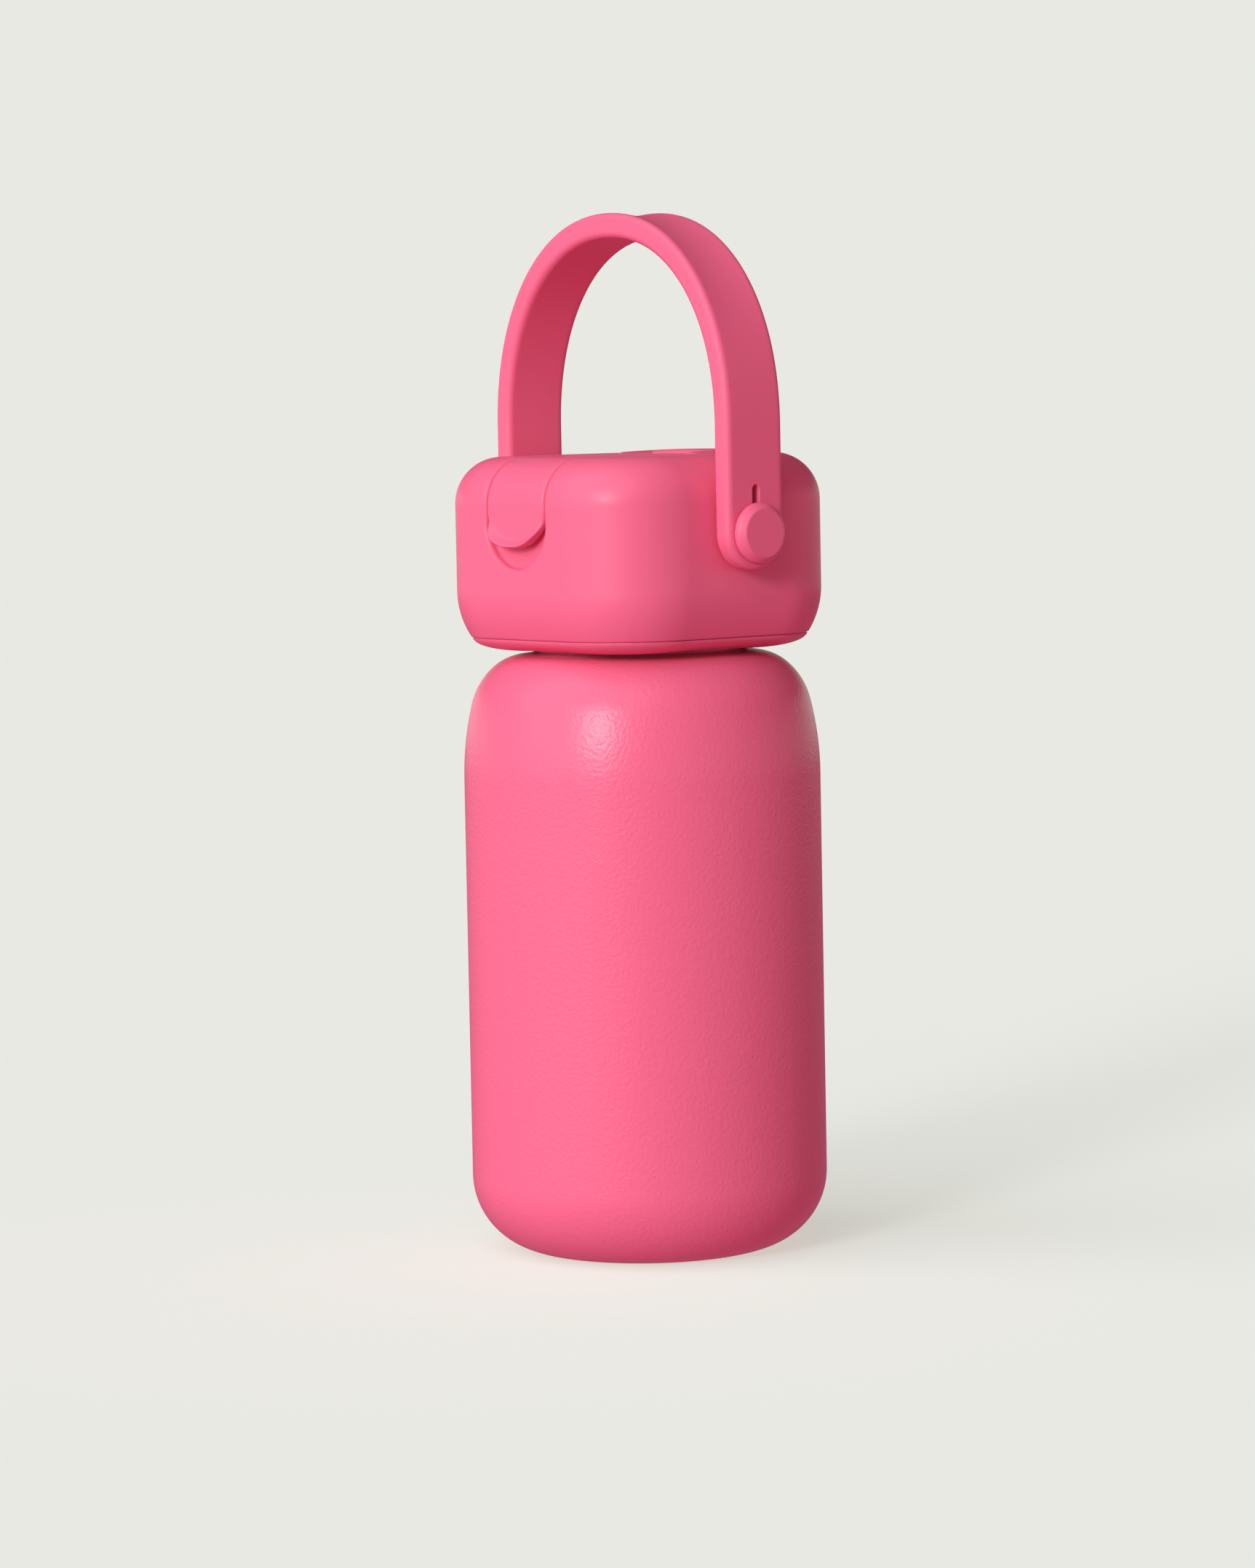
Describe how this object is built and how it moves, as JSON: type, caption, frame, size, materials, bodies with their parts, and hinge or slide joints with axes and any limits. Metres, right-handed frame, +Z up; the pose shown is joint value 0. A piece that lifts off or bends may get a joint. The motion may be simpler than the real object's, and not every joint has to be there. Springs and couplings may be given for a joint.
{
  "type": "protein shaker bottle",
  "caption": "Double-wall steel shaker bottle with a rounded-square screw lid, flip-up spout cover and a soft carry strap that swings on side studs.",
  "frame": {"origin": "centre of the bottle's foot ring, on the surface it stands on", "axes": "+Z up along the bottle's axis, -Y towards the flap's tongue, +X and -X out along the strap's two pivots"},
  "size_m": [0.0918, 0.084, 0.2441],
  "materials": {
    "coral_coat": "fine powder coat",
    "coral_plastic": "smooth matte",
    "coral_silicone": "smooth matte silicone",
    "steel": "electropolished satin",
    "spring_steel": "polished",
    "getter": "sintered grey",
    "dark_seal": "soft black silicone",
    "inner_plastic": "moulded, light grain"
  },
  "bodies": {
    "bottle": {"outer_shell": "coral_coat", "inner_liner": "steel", "base_disc": "steel", "vacuum_plug": "steel", "getter_disc": "getter"},
    "seal": {"lid_gasket": "dark_seal"},
    "lid": {"lid_housing": "coral_plastic", "lid_base": "coral_plastic", "lid_collar": "inner_plastic", "lid_deck": "inner_plastic", "spout": "inner_plastic", "vent_tube": "inner_plastic", "vent_valve": "dark_seal", "mixing_grid": "inner_plastic", "hinge_block": "coral_plastic", "flap_hinge_pin": "spring_steel", "pivot_stud_left": "coral_plastic", "pivot_stud_right": "coral_plastic", "stud_clip_left": "spring_steel", "stud_clip_right": "spring_steel"},
    "flap": {"flap": "coral_plastic", "spout_plug": "inner_plastic", "spout_gasket": "dark_seal"},
    "handle": {"carry_strap": "coral_silicone"}
  },
  "joints": [
    {"name": "lid_lift", "type": "slide", "parent": "bottle", "child": "seal", "axis": [0, 0, 1], "range_m": [0, 0.00901]},
    {"name": "lid_turn", "type": "hinge", "parent": "seal", "child": "lid", "pos_m": [0, 0, 0.15], "axis": [0, 0, 1], "range_deg": [0, 540]},
    {"name": "flap_open", "type": "hinge", "parent": "lid", "child": "flap", "pos_m": [0, 0.008, 0.1843], "axis": [-1, 0, 0], "range_deg": [0, 105]},
    {"name": "handle_swing", "type": "hinge", "parent": "lid", "child": "handle", "pos_m": [0, 0, 0.1695], "axis": [1, 0, 0], "range_deg": [-130, 130]}
  ],
  "couplings": [
    {"joint": "lid_lift", "follows": "lid_turn", "m_per_rad": 0.00095493}
  ]
}
